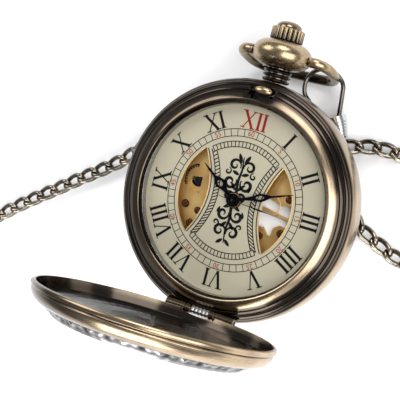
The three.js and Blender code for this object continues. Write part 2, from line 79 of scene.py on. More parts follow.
# ---- sizes taken from the frame ---------------------------------------------------------------
CASE_R = box_mm("case_band")[1].x
DIAL_Z = top("dial")
DIAL_R = box_mm("dial")[1].x
TABLE_Z = bottom("chain_coil")
HINGE = middle("hinge_pin")
PLATE_LOW, PLATE_TOP = bottom("main_plate"), bottom("main_plate") + 1.2
BALANCE = middle("balance_staff")
COVER_OPEN = math.radians(85)
BOW_FOLD = math.radians(100)
IDENTITY = Matrix.Identity(4)


def about(point, turn):
    """A turn about the X line through a point, for pieces written in their unturned place."""
    move = Matrix.Translation(Vector(point) * MM)
    return move @ Matrix.Rotation(turn, 4, "X")


STEM_Z = middle("pendant_neck").z
BOW_PIVOT = Vector((0, 29.0, STEM_Z))
COVER = about(HINGE, COVER_OPEN) @ Matrix.Translation(-HINGE * MM)
BOW = about(BOW_PIVOT, -BOW_FOLD)
STEM = Matrix.Translation((0, 0, STEM_Z * MM)) @ Matrix.Rotation(-math.pi / 2, 4, "X")


# ---- geometry: every maker returns (points in mm, faces) --------------------------------------
def polar(r, angle, z=0.0):
    return (r * math.cos(angle), r * math.sin(angle), z)


def merge(*parts):
    points, faces = [], []
    for part_points, part_faces in parts:
        start = len(points)
        points += part_points
        faces += [[start + i for i in face] for face in part_faces]
    return points, faces


def moved(part, x=0.0, y=0.0, z=0.0, turn=0.0):
    c, s = math.cos(turn), math.sin(turn)
    return [(c * px - s * py + x, s * px + c * py + y, pz + z) for px, py, pz in part[0]], part[1]


def skin(rows, sides, loop=False):
    """The faces between rows of points; a loop also joins its last row to its first."""
    faces = []
    for i in range(rows if loop else rows - 1):
        a, b = i * sides, ((i + 1) % rows) * sides
        faces += [[a + k, a + (k + 1) % sides, b + (k + 1) % sides, b + k] for k in range(sides)]
    return faces


def lathe(profile, sides=FINE):
    """(radius, height) points turned about +Z: a ring, or a solid where both ends are on the axis."""
    points, faces, rows = [], [], []
    for r, z in profile:
        if r == 0:
            rows.append([len(points)] * sides)
            points.append((0.0, 0.0, z))
        else:
            rows.append(range(len(points), len(points) + sides))
            points += [polar(r, TAU * k / sides, z) for k in range(sides)]
    pairs = list(zip(rows, rows[1:]))
    if profile[0][0] > 0:
        pairs.append((rows[-1], rows[0]))
    for low, high in pairs:
        for k in range(sides):
            n = (k + 1) % sides
            corners = list(dict.fromkeys((low[k], low[n], high[n], high[k])))
            if len(corners) > 2:
                faces.append(corners)
    return points, faces


def disc(r, low, high, sides=SMALL):
    return lathe([(0, low), (r, low), (r, high), (0, high)], sides)


def ring(inner, outer, low, high, sides=SMALL):
    return lathe([(inner, low), (outer, low), (outer, high), (inner, high)], sides)


def block(low, high):
    corners = [(x, y, z) for x in (low[0], high[0]) for y in (low[1], high[1]) for z in (low[2], high[2])]
    return corners, [[0, 1, 3, 2], [4, 6, 7, 5], [0, 4, 5, 1], [2, 3, 7, 6], [0, 2, 6, 4], [1, 5, 7, 3]]


def rod_x(r, x0, x1, y, z, sides=SMALL):
    points, faces = disc(r, x0, x1, sides)
    return [(pz, px + y, py + z) for px, py, pz in points], faces


def smooth_line(knots, per_span=8):
    """Catmull-Rom points through the knots."""
    knots = [Vector(k) for k in knots]
    ends = [2 * knots[0] - knots[1], *knots, 2 * knots[-1] - knots[-2]]
    line = []
    for a, b, c, d in zip(ends, ends[1:], ends[2:], ends[3:]):
        for k in range(per_span):
            t = k / per_span
            line.append(0.5 * (2 * b + (c - a) * t + (2 * a - 5 * b + 4 * c - d) * t * t
                               + (3 * b - a - 3 * c + d) * t ** 3))
    return line + [knots[-1]]


def tube(line, radius, sides=16, loop=False):
    """A round section along a line; radius is a number or a function of the fraction along."""
    points, count = [], len(line)
    side = Vector((0, 0, 1))
    for i, centre in enumerate(line):
        ahead = line[(i + 1) % count] if loop or i + 1 < count else centre
        behind = line[i - 1] if loop or i else centre
        along = (ahead - behind).normalized()
        across = (side - along * side.dot(along)).normalized() if abs(side.dot(along)) < 0.95 \
            else along.orthogonal().normalized()
        side = across
        up = along.cross(across)
        r = radius(i / (count - 1)) if callable(radius) else radius
        points += [tuple(centre + r * (math.cos(a) * across + math.sin(a) * up))
                   for a in (TAU * k / sides for k in range(sides))]
    faces = skin(count, sides, loop)
    if not loop:
        faces += [list(range(sides)), list(range((count - 1) * sides, count * sides))]
    return points, faces


def stroke(line, width, low, high):
    """A flat printed line. Width is a number or a function of the fraction along."""
    points, count = [], len(line)
    for i, centre in enumerate(line):
        along = Vector(line[min(i + 1, count - 1)]) - Vector(line[max(i - 1, 0)])
        across = Vector((-along.y, along.x, 0)).normalized()
        w = (width(i / (count - 1)) if callable(width) else width) / 2
        for edge, z in ((w, low), (-w, low), (-w, high), (w, high)):
            points.append(tuple(Vector(centre) + edge * across + Vector((0, 0, z))))
    end = 4 * (count - 1)
    return points, skin(count, 4) + [[0, 1, 2, 3], [end, end + 1, end + 2, end + 3]]


def arc(r, start, end, steps, centre=(0, 0)):
    return [Vector((centre[0] + r * math.cos(a), centre[1] + r * math.sin(a), 0))
            for a in (start + (end - start) * k / steps for k in range(steps + 1))]


def from_curve(curve):
    """The mesh of a filled curve, as points and faces in the curve's own units."""
    holder = bpy.data.objects.new("outline", curve)
    mesh = bpy.data.meshes.new_from_object(holder)
    points = [tuple(v.co) for v in mesh.vertices]
    faces = [list(p.vertices) for p in mesh.polygons]
    bpy.data.objects.remove(holder)
    bpy.data.meshes.remove(mesh)
    bpy.data.curves.remove(curve)
    return points, faces


def flat(outlines, low, high):
    """A flat plate; the second and later outlines are its holes."""
    curve = bpy.data.curves.new("outline", "CURVE")
    curve.dimensions = "2D"
    curve.fill_mode = "BOTH"
    curve.extrude = (high - low) / 2
    for outline in outlines:
        spline = curve.splines.new("POLY")
        spline.points.add(len(outline) - 1)
        for point, corner in zip(spline.points, outline):
            point.co = (corner[0], corner[1], 0, 1)
        spline.use_cyclic_u = True
    points, faces = from_curve(curve)
    return [(x, y, z + (low + high) / 2) for x, y, z in points], faces


def circle(r, centre=(0, 0), sides=64):
    return [(centre[0] + p[0], centre[1] + p[1]) for p in (polar(r, TAU * k / sides) for k in range(sides))]


def wheel(teeth, r, depth, low, high, bore=0.4, spokes=0):
    """A toothed wheel with flat-topped teeth and, where asked, cut-out spokes."""
    outline = []
    for k in range(teeth):
        for part, radius in ((0.0, r - depth), (0.16, r - 0.9 * depth), (0.3, r), (0.56, r),
                             (0.7, r - 0.9 * depth), (0.86, r - depth)):
            outline.append(polar(radius, TAU * (k + part) / teeth)[:2])
    holes = [circle(bore, sides=24)]
    for k in range(spokes):
        start = TAU * k / spokes
        outer = arc(0.78 * r, start + 0.14, start + TAU / spokes - 0.14, 16)
        inner = arc(0.3 * r, start + TAU / spokes - 0.34, start + 0.34, 8)
        holes.append([p[:2] for p in outer + inner])
    return flat([outline, *holes], low, high)


# ---- materials --------------------------------------------------------------------------------
class Finish:
    """A Principled material with short calls for the nodes in front of it."""

    def __init__(self, name, color, roughness=0.3, metallic=1.0, **sockets):
        self.material = bpy.data.materials.new(name)
        self.material.use_nodes = True
        self.tree = self.material.node_tree
        self.shader = self.tree.nodes["Principled BSDF"]
        self.shader.inputs["Base Color"].default_value = (*color, 1)
        self.shader.inputs["Roughness"].default_value = roughness
        self.shader.inputs["Metallic"].default_value = metallic
        for socket, value in sockets.items():
            self.shader.inputs[socket.replace("_", " ")].default_value = value

    def node(self, kind, inputs=(), **settings):
        made = self.tree.nodes.new("ShaderNode" + kind)
        for key, value in settings.items():
            setattr(made, key, value)
        for socket, value in dict(inputs).items():
            if hasattr(value, "is_output"):
                self.tree.links.new(value, made.inputs[socket])
            else:
                made.inputs[socket].default_value = value
        return made

    def math(self, operation, a, b=0.0, clamp=False):
        return self.node("Math", {0: a, 1: b}, operation=operation, use_clamp=clamp).outputs[0]

    def place(self):
        return self.node("TexCoord").outputs["Object"]

    def axes(self):
        parts = self.node("SeparateXYZ", {0: self.place()}).outputs
        return parts["X"], parts["Y"], parts["Z"]

    def radius(self):
        x, y, _ = self.axes()
        return self.math("SQRT", self.math("ADD", self.math("MULTIPLY", x, x), self.math("MULTIPLY", y, y)))

    def angle(self):
        x, y, _ = self.axes()
        return self.math("ARCTAN2", y, x)

    def noise(self, scale, detail=4.0, vector=None, stretch=None):
        vector = vector or self.place()
        if stretch:
            vector = self.node("VectorMath", {0: vector, 1: stretch}, operation="MULTIPLY").outputs[0]
        return self.node("TexNoise", {"Vector": vector, "Scale": scale, "Detail": detail}).outputs["Fac"]

    def turned_noise(self, scale):
        """Noise drawn out round the Z axis, as a lathe or a brushing wheel leaves it."""
        lines = self.node("CombineXYZ", {0: self.radius(), 1: self.axes()[2],
                                         2: self.math("MULTIPLY", self.angle(), 0.0004)})
        return self.noise(scale, 3.0, lines.outputs[0])

    def ramp(self, factor, stops):
        made = self.node("ValToRGB", {0: factor})
        elements = made.color_ramp.elements
        while len(elements) < len(stops):
            elements.new(0.5)
        for element, (position, color) in zip(elements, stops):
            element.position = position
            element.color = (*color, 1) if not isinstance(color, float) else (color, color, color, 1)
        return made.outputs["Color"]

    def mix(self, factor, a, b):
        return self.node("MixRGB", {0: factor, 1: a, 2: b}).outputs[0]

    def attribute(self, name):
        return self.node("Attribute", attribute_name=name).outputs["Fac"]

    def color(self, output):
        self.tree.links.new(output, self.shader.inputs["Base Color"])

    def roughness(self, output):
        self.tree.links.new(output, self.shader.inputs["Roughness"])

    def bump(self, height, strength, depth_mm):
        made = self.node("Bump", {"Height": height, "Strength": strength, "Distance": depth_mm * MM})
        self.tree.links.new(made.outputs[0], self.shader.inputs["Normal"])


# The black that the painted vertex attribute mixes in: own dark tone on some pieces, painted shade and
# painted dark reflection on others.
PATINA_AND_SHADE_BLACK = (0.05, 0.04, 0.032)


def antique(name, bright, mid, dark, rough=0.3, turned=True, lines=9000):
    """Plated bronze: brushed lines, darker patches of tarnish, and black where the vertex attribute is
    painted: own dark tone on some pieces, painted shade and painted dark reflection on others.
    """
    f = Finish(name, mid, rough)
    streaks = f.turned_noise(lines) if turned else f.noise(2500, 6)
    patches = f.noise(180, 5)
    tone = f.ramp(f.math("ADD", f.math("MULTIPLY", streaks, 0.5), f.math("MULTIPLY", patches, 0.5)),
                  [(0.3, dark), (0.5, mid), (0.7, bright)])
    f.color(f.mix(f.attribute("patina_and_shade"), tone, (*PATINA_AND_SHADE_BLACK, 1)))
    rubbed = f.math("ADD", f.math("MULTIPLY", streaks, 0.16), rough - 0.08)
    f.roughness(f.math("SUBTRACT", rubbed, f.math("MULTIPLY", f.attribute("patina_and_shade"), 0.12), clamp=True))
    f.bump(streaks, 0.12, 0.01)
    return f.material


def polished(name, color, rough, grain=3000):
    """Polished metal with faint marks from use."""
    f = Finish(name, color, rough)
    marks = f.noise(grain, 3)
    shade = f.ramp(marks, [(0.3, tuple(0.75 * c for c in color)), (0.7, color)])
    f.color(shade)
    f.roughness(f.math("ADD", f.math("MULTIPLY", f.noise(400, 4), 0.18), rough - 0.06))
    return f.material


def gilt_finish(name, perlage):
    """Gilded brass: overlapping polished spots on the plates, fine turned lines on the wheels."""
    f = Finish(name, (0.72, 0.49, 0.2), 0.4)
    if perlage:
        cells = f.node("TexVoronoi", {"Vector": f.place(), "Scale": 900.0}, feature="F1")
        pattern = f.math("SINE", f.math("MULTIPLY", cells.outputs["Distance"], 38.0))
    else:
        pattern = f.turned_noise(12000)
    patches = f.noise(260, 4)
    f.color(f.ramp(patches, [(0.35, (0.56, 0.34, 0.115)), (0.5, (0.66, 0.41, 0.15)),
                             (0.7, (0.74, 0.5, 0.2))]))
    f.roughness(f.math("ADD", f.math("MULTIPLY", patches, 0.2), 0.34))
    f.bump(pattern, 0.15, 0.008)
    return f.material


def guilloche():
    """Dark polished nickel with engraved swirling rays."""
    f = Finish("guilloche", (0.04, 0.04, 0.042), 0.16)
    rays = f.math("MULTIPLY", f.angle(), 24.0)
    rings = f.math("MULTIPLY", f.radius(), 900.0)
    swirl = f.math("SINE", f.math("ADD", rays, rings))
    back_swirl = f.math("SINE", f.math("SUBTRACT", rays, rings))
    weave = f.math("MULTIPLY", swirl, back_swirl)
    f.color(f.ramp(weave, [(0.2, (0.012, 0.012, 0.013)), (0.8, (0.07, 0.066, 0.06))]))
    f.roughness(f.math("ADD", f.math("MULTIPLY", f.noise(900, 3), 0.1), 0.12))
    f.bump(weave, 0.5, 0.12)
    return f.material


def relief_finish():
    """Dark oxidised plate; the raised points are rubbed bright."""
    f = Finish("relief_metal", (0.2, 0.19, 0.18), 0.4)
    grain = f.math("MULTIPLY", f.math("SUBTRACT", f.noise(700, 5), 0.5), 0.5)
    wear = f.math("ADD", f.attribute("patina_and_shade"), grain)
    f.color(f.ramp(wear, [(0.3, (0.3, 0.29, 0.29)), (0.65, (0.13, 0.126, 0.126)),
                          (0.95, (0.02, 0.019, 0.018))]))
    f.roughness(f.math("ADD", f.math("MULTIPLY", wear, 0.3), 0.22))
    f.bump(f.noise(1800, 5), 0.3, 0.05)
    return f.material


def paint(name, light, shade, rough=0.5, scale=90, gloss=0.5):
    """Printed or enamelled colour with a very faint mottle."""
    f = Finish(name, light, rough, 0.0, Specular_IOR_Level=gloss)
    f.color(f.ramp(f.noise(scale, 4), [(0.3, shade), (0.7, light)]))
    f.roughness(f.math("ADD", f.math("MULTIPLY", f.noise(500, 3), 0.15), rough - 0.08))
    f.bump(f.noise(2400, 4), 0.08, 0.02)
    return f.material


def clear_glass(name):
    f = Finish(name, (0.01, 0.012, 0.012), 0.03, 0.0, Alpha=0.025, IOR=1.5)
    smears = f.noise(60, 3)
    f.roughness(f.math("ADD", f.math("MULTIPLY", smears, 0.04), 0.01))
    return f.material


def studio_floor():
    f = Finish("floor_paper", (0.86, 0.86, 0.86), 0.7, 0.0)
    f.color(f.ramp(f.noise(20, 3), [(0.3, (0.84, 0.84, 0.84)), (0.7, (0.87, 0.87, 0.87))]))
    return f.material


BRONZE = antique("bronze_turned", (0.57, 0.44, 0.29), (0.4, 0.303, 0.197), (0.19, 0.14, 0.09), 0.27)
BRONZE_ROD = antique("bronze_worked", (0.46, 0.355, 0.22), (0.32, 0.24, 0.145), (0.17, 0.125, 0.078),
                     0.27, False)
CHAIN_METAL = antique("chain_metal", (0.5, 0.43, 0.32), (0.2, 0.175, 0.14), (0.05, 0.046, 0.042), 0.2, False)
GUNMETAL = polished("gunmetal", (0.055, 0.05, 0.045), 0.14)
GREY_RING = polished("grey_ring", (0.42, 0.41, 0.4), 0.25)
STEEL_DARK = polished("steel_dark", (0.13, 0.115, 0.1), 0.16)
STEEL = polished("steel", (0.58, 0.58, 0.6), 0.2)
PAINTED_SEE_THROUGH_WHITE = paint("painted_see_through_white", (0.85, 0.85, 0.84), (0.78, 0.78, 0.77), 0.35)
SILVER = polished("bright_steel", (0.72, 0.72, 0.72), 0.16)
BLUED = polished("blued_steel", (0.012, 0.012, 0.016), 0.24)
SCREW_BROWN = polished("screw_brown", (0.28, 0.1, 0.035), 0.22)
GILT_PLATE = gilt_finish("gilt_plate", True)
GILT_WHEEL = gilt_finish("gilt_wheel", False)
GUILLOCHE = guilloche()
RELIEF = relief_finish()
DIAL_PAINT = paint("dial_cream", (0.44, 0.40, 0.29), (0.40, 0.366, 0.264), 0.45)
INK = paint("ink_black", (0.004, 0.004, 0.005), (0.007, 0.007, 0.007), 0.6, 900, 0.1)
RED_INK = paint("ink_red", (0.27, 0.018, 0.015), (0.2, 0.014, 0.012), 0.6, 900, 0.1)
GLASS = clear_glass("mineral_glass")
FLOOR = studio_floor()


# ---- pieces -----------------------------------------------------------------------------------
def shape(name, geometry, material, place=IDENTITY, sharp=math.radians(38), soften=0.0):
    """Makes an object from points in millimetres, smooth but for its sharp edges."""
    points, faces = geometry
    mesh = bpy.data.meshes.new(name)
    mesh.from_pydata([Vector(p) * MM for p in points], [], faces)
    work = bmesh.new()
    work.from_mesh(mesh)
    bmesh.ops.remove_doubles(work, verts=work.verts, dist=2e-7)
    bmesh.ops.recalc_face_normals(work, faces=work.faces)
    for edge in work.edges:
        edge.smooth = len(edge.link_faces) == 2 and edge.calc_face_angle(0.0) < sharp
    for face in work.faces:
        face.smooth = True
    work.to_mesh(mesh)
    work.free()
    obj = bpy.data.objects.new(name, mesh)
    bpy.context.scene.collection.objects.link(obj)
    mesh.materials.append(material)
    obj.matrix_world = place
    if soften:
        bevel = obj.modifiers.new("soft_edges", "BEVEL")
        bevel.width = soften * MM
        bevel.segments = 2
        bevel.limit_method = "ANGLE"
        bevel.angle_limit = sharp
        bevel.harden_normals = True
    return obj


def fit(obj, body, finish_slot, *nodes):
    """Ties a piece to its body and hides the CAD nodes it stands for; finish_slot is not used."""
    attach(obj, body)
    if nodes:
        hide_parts(*nodes)
    return obj


def cut_away(obj, *cutters):
    """Cuts shapes in millimetres out of a piece, and keeps the result as its mesh."""
    for number, geometry in enumerate(cutters):
        cutter = shape(f"cutter_{number}", geometry, obj.data.materials[0])
        cutter.matrix_world = obj.matrix_world
        tool = obj.modifiers.new("cut", "BOOLEAN")
        tool.object = cutter
        tool.operation = "DIFFERENCE"
        tool.solver = "EXACT"
        bpy.context.view_layer.update()
        done = bpy.data.meshes.new_from_object(obj.evaluated_get(bpy.context.evaluated_depsgraph_get()))
        obj.modifiers.remove(tool)
        obj.data = done
        bpy.data.objects.remove(cutter)
    return obj


def paint_patina_and_shade(obj, amount):
    """Stores amount(point in mm, in the piece's own place) per vertex as the attribute that blackens it: own
    dark tone on some pieces, painted shade and painted dark reflection on others.
    """
    values = obj.data.attributes.new("patina_and_shade", "FLOAT", "POINT").data
    for vertex, value in zip(obj.data.vertices, values):
        value.value = amount(vertex.co / MM)


def refinish(material, *names):
    """Gives carried-over CAD nodes a detailed material."""
    for name in names:
        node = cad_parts[name]
        node.data.materials.clear()
        node.data.materials.append(material)


# ---- camera -----------------------------------------------------------------------------------
def add_camera():
    """Place and directions fitted to the minute figures and hour numerals of the photograph."""
    data = bpy.data.cameras.new("camera")
    data.lens = 99
    data.sensor_width = 36
    camera = bpy.data.objects.new("camera", data)
    bpy.context.scene.collection.objects.link(camera)
    right = Vector((0.89318, 0.25476, -0.37057))
    up = Vector((-0.26738, 0.96343, 0.01788))
    back = Vector((0.36158, 0.08311, 0.92863))
    turn = Matrix((right, up, back)).transposed().to_4x4()
    camera.matrix_world = Matrix.Translation(Vector((69.9, 15.8, 207.85)) * MM) @ turn
    bpy.context.scene.camera = camera


add_camera()


# ---- chain ------------------------------------------------------------------------------------
CHAIN_D = 3.4
CHAIN_Z = TABLE_Z + CHAIN_D / 2 + 0.05
UPPER_Z = CHAIN_Z + 3.55
COIL_X = -4.0
RIGHT_RUN = [(13.9, 15.3), (15.4, 15.6), (17.0, 16.1), (20.6, 16.6), (24.8, 16.4), (29.0, 15.9), (33.2, 14.2),
             (37.0, 11.0), (39.4, 6.6), (39.8, 2.0), (37.6, -2.0), (34.2, -3.8), (30.2, -3.4), (25.9, -1.8),
             (22.2, -0.1), (19.3, 2.1), (14.4, 8.0)]
LEFT_RUN = [(-20.4, 11.6, -3.2), (-24.6, 8.3, -4.6), (-28.4, 4.6, -5.2), (-32.6, 0.4, CHAIN_Z),
            (-37.2, -3.2, CHAIN_Z), (-41.7, -6.4, CHAIN_Z), (-46.0, -9.6, CHAIN_Z), (-50.3, -12.7, CHAIN_Z),
            (-54.7, -16.0, CHAIN_Z), (-59.0, -19.5, CHAIN_Z), (-62.2, -22.1, CHAIN_Z)]
LEAD_KNOTS, KNOT_STEPS = 9, 6    # knots in the lead, and points drawn for each knot
LINK_WIRE = 0.5
LINK_PITCH = 3.6
FIRST_LINK = 1.0
LINK_TWIST = math.radians(50)
LINK_CLEAR = 0.12                # kept inside the tube that the CAD draws for the chain


def coil_points():
    """In along the table, up at the inside of the coil, and out again on top."""
    outer, inner = 19.0, 15.6
    start, inside, ramped, end = 50, 410, 500, 847
    knots = []
    for degrees in range(start, end, 20):
        if degrees < inside:
            r, z = outer - (outer - inner) * (degrees - start) / (inside - start), CHAIN_Z
        elif degrees < ramped:
            r, z = inner, CHAIN_Z + (UPPER_Z - CHAIN_Z) * (degrees - inside) / (ramped - inside)
        else:
            r, z = inner + (outer - inner) * (degrees - ramped) / (end - ramped), UPPER_Z
        x, y, _ = polar(r, math.radians(degrees))
        knots.append((x + COIL_X, y, z))
    return knots


def chain_route():
    """The lead, as far as the outside of the right-hand loop, and the rest of the chain after it."""
    knots = [(x, y, CHAIN_Z) for x, y in RIGHT_RUN] + coil_points() + LEFT_RUN
    line = smooth_line(knots, KNOT_STEPS)
    split = LEAD_KNOTS * KNOT_STEPS
    return line[:split + 1], line[split:]


def along(line, spacing, start):
    """Points and directions every spacing millimetres along a line."""
    travelled, wanted, stations = 0.0, start, []
    for a, b in zip(line, line[1:]):
        step = (b - a).length
        while travelled + step >= wanted:
            stations.append((a.lerp(b, (wanted - travelled) / step), (b - a).normalized()))
            wanted += spacing
        travelled += step
    return stations


def curb_link(centre, forward):
    """An oval link, twisted one way at its front and the other way at its back."""
    half_length = (LINK_PITCH + 2 * LINK_WIRE) / 2
    half_width = CHAIN_D / 2 - LINK_WIRE - LINK_CLEAR
    side = Vector((0, 0, 1)).cross(forward).normalized()
    up = forward.cross(side)
    line = []
    for k in range(22):
        c, s = math.cos(TAU * k / 22), math.sin(TAU * k / 22)
        x = half_length * math.copysign(abs(c) ** 0.85, c)
        y = half_width * math.copysign(abs(s) ** 0.6, s)
        twist = LINK_TWIST * x / half_length
        line.append(centre + x * forward + y * math.cos(twist) * side + y * math.sin(twist) * up)
    points, sides = [], 8
    for i, point in enumerate(line):
        tangent = (line[(i + 1) % len(line)] - line[i - 1]).normalized()
        outward = point - centre
        outward = (outward - tangent * outward.dot(tangent)).normalized()
        third = tangent.cross(outward)
        points += [tuple(point + LINK_WIRE * (math.cos(a) * outward + math.sin(a) * third))
                   for a in (TAU * k / sides for k in range(sides))]
    return points, skin(len(line), sides, loop=True)


def length_of(line):
    return sum((b - a).length for a, b in zip(line, line[1:]))


def chain_piece(name, line, first_link, with_pieces, *nodes):
    """One stretch of links, in place of the CAD nodes it hides."""
    links = merge(*[curb_link(centre, forward) for centre, forward in along(line, LINK_PITCH, first_link)])
    piece = shape(name, links, CHAIN_METAL, sharp=math.radians(80))
    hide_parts(*nodes)
    return piece


def build_chain():
    """The lead and the rest of the chain, whose links carry on from the lead's; the rest is tied to the root.
    """
    lead_line, rest_line = chain_route()
    bar = [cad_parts[name] for name in ("chain_bar", "bar_ring")]
    clasp = [CLASP_WIRE, CLASP_CONE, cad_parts["clasp_gate"]]
    lead = chain_piece("chain_lead", lead_line, FIRST_LINK, clasp, "chain_run_right")
    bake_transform(lead)
    done = (length_of(lead_line) - FIRST_LINK) % LINK_PITCH
    rest = chain_piece("chain", rest_line, LINK_PITCH - done, bar, "chain_coil", "chain_run_left")
    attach(rest, "root")


refinish(CHAIN_METAL, "chain_bar", "bar_ring", "clasp_gate")


def build_hook():
    """The bent wire of the clasp, hooked round the bow."""
    knots = [(11.1, 20.2, -5.0), (11.1, 22.4, -4.2), (11.0, 25.0, -3.5), (10.6, 27.0, -3.3),
             (8.9, 28.5, -3.3), (6.9, 29.1, -3.5), (4.7, 28.5, -3.8), (3.2, 27.0, -4.05),
             (2.8, 25.2, -4.2), (3.2, 23.3, -4.5), (4.5, 22.0, -4.8)]
    wire = tube(smooth_line(knots, 6), 0.45, 16)
    return fit(shape("clasp_wire", wire, STEEL_DARK), "bow", "chain", "clasp_hook")


def build_swivel():
    """The ribbed end cone of the clasp, pointing down the chain."""
    profile = [(0, 0), (1.95, 0), (1.95, 1.15)]
    for k in range(5):
        y, r = 1.25 + 0.62 * k, 1.9 - 0.16 * k
        profile += [(r - 0.22, y), (r, y + 0.14), (r, y + 0.42), (r - 0.22, y + 0.56)]
    profile += [(0.9, 4.45), (0, 4.5)]
    heading = Vector((0.5, -0.86, -0.1)).normalized().to_track_quat("Z", "Y")
    place = Matrix.Translation(Vector((10.6, 20.4, -5.1)) * MM) @ heading.to_matrix().to_4x4()
    cone = shape("clasp_cone", lathe(profile, SMALL), SILVER, place, soften=0.04)
    paint_patina_and_shade(cone, lambda p: 1.0 if p.z < 1.2 else 0.0)
    return fit(cone, "bow", "chain", "clasp_swivel")


CLASP_WIRE = build_hook()
CLASP_CONE = build_swivel()
build_chain()


# ---- case -------------------------------------------------------------------------------------
LATCH_LEFT, LATCH_RIGHT = -2.0, 2.9


def painted_shade_towards_ten(p):
    """Painted shade: darker towards 10 o'clock, standing in for the side the light leaves dark."""
    towards_ten = math.cos(math.atan2(p.y, p.x) - math.radians(150))
    return 0.86 * min(1.0, max(0.0, 0.55 + 0.75 * towards_ten))


def in_latch_slot(p):
    return -2.4 < p.x < 3.3 and p.y > 19.2 and p.z > 10.5


def build_case():
    flank = [(21.1, 1.9), (22.35, 1.9), (22.5, 2.1), (22.85, 3.4), (23.2, 5.0), (23.42, 6.6), (CASE_R, 8.2),
             (CASE_R, 9.4), (23.42, 10.4), (23.3, 11.0), (23.1, 11.5), (22.85, 11.8), (22.72, 11.85),
             (22.66, 12.05), (22.4, 12.3), (22.15, 12.4), (22.0, 12.2), (21.8, 12.2), (21.72, 12.45),
             (21.4, 12.68), (21.1, 12.8)]
    case = shape("case_body", lathe(flank), BRONZE, soften=0.05)
    cut_away(case, block((-7.4, -25, 11.95), (7.4, -20.9, 14)),
             block((LATCH_LEFT, 20.9, 10.9), (LATCH_RIGHT, 22.3, 14)))
    lugs = [rod_x(1.05, x, x + 0.9, HINGE.y, HINGE.z) for x in (-3.0, 2.1)]
    lugs += [block((x, -22.7, 11.6), (x + 0.9, -21.3, 13.0)) for x in (-3.0, 2.1)]
    lugs = shape("case_lugs", merge(*lugs), BRONZE_ROD, soften=0.08)

    # Black on top of the rim: painted dark reflection. Black in the latch slot and in the hinge notch:
    # painted shade. Elsewhere: the painted shade towards 10 o'clock.
    def painted_reflection_and_shade(p):
        r = math.hypot(p.x, p.y)
        on_rim = p.z > 11.2 and r > 21.0
        under_hinge = p.y < -20.5 and abs(p.x) < 7.9 and p.z > 11.6
        return 1.0 if on_rim or in_latch_slot(p) or under_hinge else painted_shade_towards_ten(p)

    paint_patina_and_shade(case, painted_reflection_and_shade)
    fit(case, "root", "bronze", "case_band")
    paint_patina_and_shade(lugs, lambda p: 0.7)
    fit(lugs, "root", "bronze")


def build_bezels():
    front = [(19.1, 11.5), (20.95, 11.5), (20.95, 12.86), (20.6, 13.12), (20.2, 13.4), (19.8, 13.64),
             (19.4, 13.82), (19.1, 13.9), (18.85, 13.84), (18.72, 13.68), (18.6, 13.4), (18.35, 13.1),
             (19.1, 13.1)]
    bezel = shape("bezel_front", lathe(front), BRONZE, soften=0.04)
    cut_away(bezel, block((LATCH_LEFT, 19.5, 11), (LATCH_RIGHT, 22, 14.5)))

    # Black on the inner lip. Black on the outer edge beside the rim, as on the case: painted dark reflection.
    # Black in the latch slot: painted shade. Elsewhere: the painted shade towards 10 o'clock.
    def edges(p):
        r = math.hypot(p.x, p.y)
        return 1.0 if r < 18.8 or r > 20.55 or in_latch_slot(p) else painted_shade_towards_ten(p)

    paint_patina_and_shade(bezel, edges)
    fit(bezel, "root", "bronze", "front_bezel")
    rear = [(17.3, 0), (21.25, 0), (21.55, 0.12), (21.8, 0.5), (22.05, 1.0), (22.25, 1.6), (21.0, 1.6),
            (21.0, 2.9), (18.4, 2.9), (18.4, 1.7), (17.3, 0.5)]
    fit(shape("bezel_back", lathe(rear), BRONZE, soften=0.08), "root", "bronze", "back_bezel")
    fit(shape("rehaut", lathe([(18.3, 11.35), (18.95, 11.35), (18.95, 12.6), (18.5, 12.6)]), GREY_RING,
              soften=0.05), "root", "gunmetal", "rehaut_ring")
    glass = [(0, 12.7), (18.3, 12.7), (18.95, 12.74), (18.95, 13.0), (18.3, 13.05), (0, 13.05)]
    fit(shape("crystal_front", lathe(glass), GLASS), "root", "crystal", "front_crystal")
    back_glass = [(0, 0.02), (16.9, 0.02), (17.0, 0.1), (17.0, 0.55), (18.1, 1.75), (18.1, 2.2), (0, 2.2)]
    fit(shape("crystal_back", lathe(back_glass), GLASS), "root", "crystal", "back_crystal")


build_case()
build_bezels()
# Painted shade: the movement ring is dark gunmetal so that where it shows at the foot of the latch slot it
# reads as shade.
refinish(GUNMETAL, "movement_ring")


# ---- dial -------------------------------------------------------------------------------------
PRINT_LOW, PRINT_HIGH = DIAL_Z, DIAL_Z + 0.02
NUMERAL_H, NUMERAL_R = 3.4, 15.55
FIGURE_H, FIGURE_R = 1.35, 12.94
TRACK_IN, TRACK_OUT = 12.25, 13.63
LADDER_IN, LADDER_OUT, LADDER_RUNGS = 10.2, 11.25, 20
SCROLL_WEIGHT = 1.35             # thickens every stroke of the centre panel alike
WINDOW_ARC, WINDOW_CORNER, WINDOW_WAIST = 11.6, math.radians(46), 5.6


def window_side(grow=0.0, steps=16):
    """The inward-curving edge of the right-hand window, from bottom to top."""
    corner_x = WINDOW_ARC * math.cos(WINDOW_CORNER)
    corner_y = WINDOW_ARC * math.sin(WINDOW_CORNER)
    pull = 2 * WINDOW_WAIST - corner_x
    line = []
    for k in range(steps + 1):
        t = k / steps
        x = (1 - t) ** 2 * corner_x + 2 * t * (1 - t) * pull + t * t * corner_x
        line.append(Vector((x - grow, (2 * t - 1) * corner_y, 0)))
    return line


def window_outline(side):
    edge = window_side() + arc(WINDOW_ARC, WINDOW_CORNER, -WINDOW_CORNER, 32)[1:-1]
    return [(side * p.x, p.y) for p in edge]


def mirrored(line):
    return [Vector((-p.x, p.y, p.z)) for p in line]


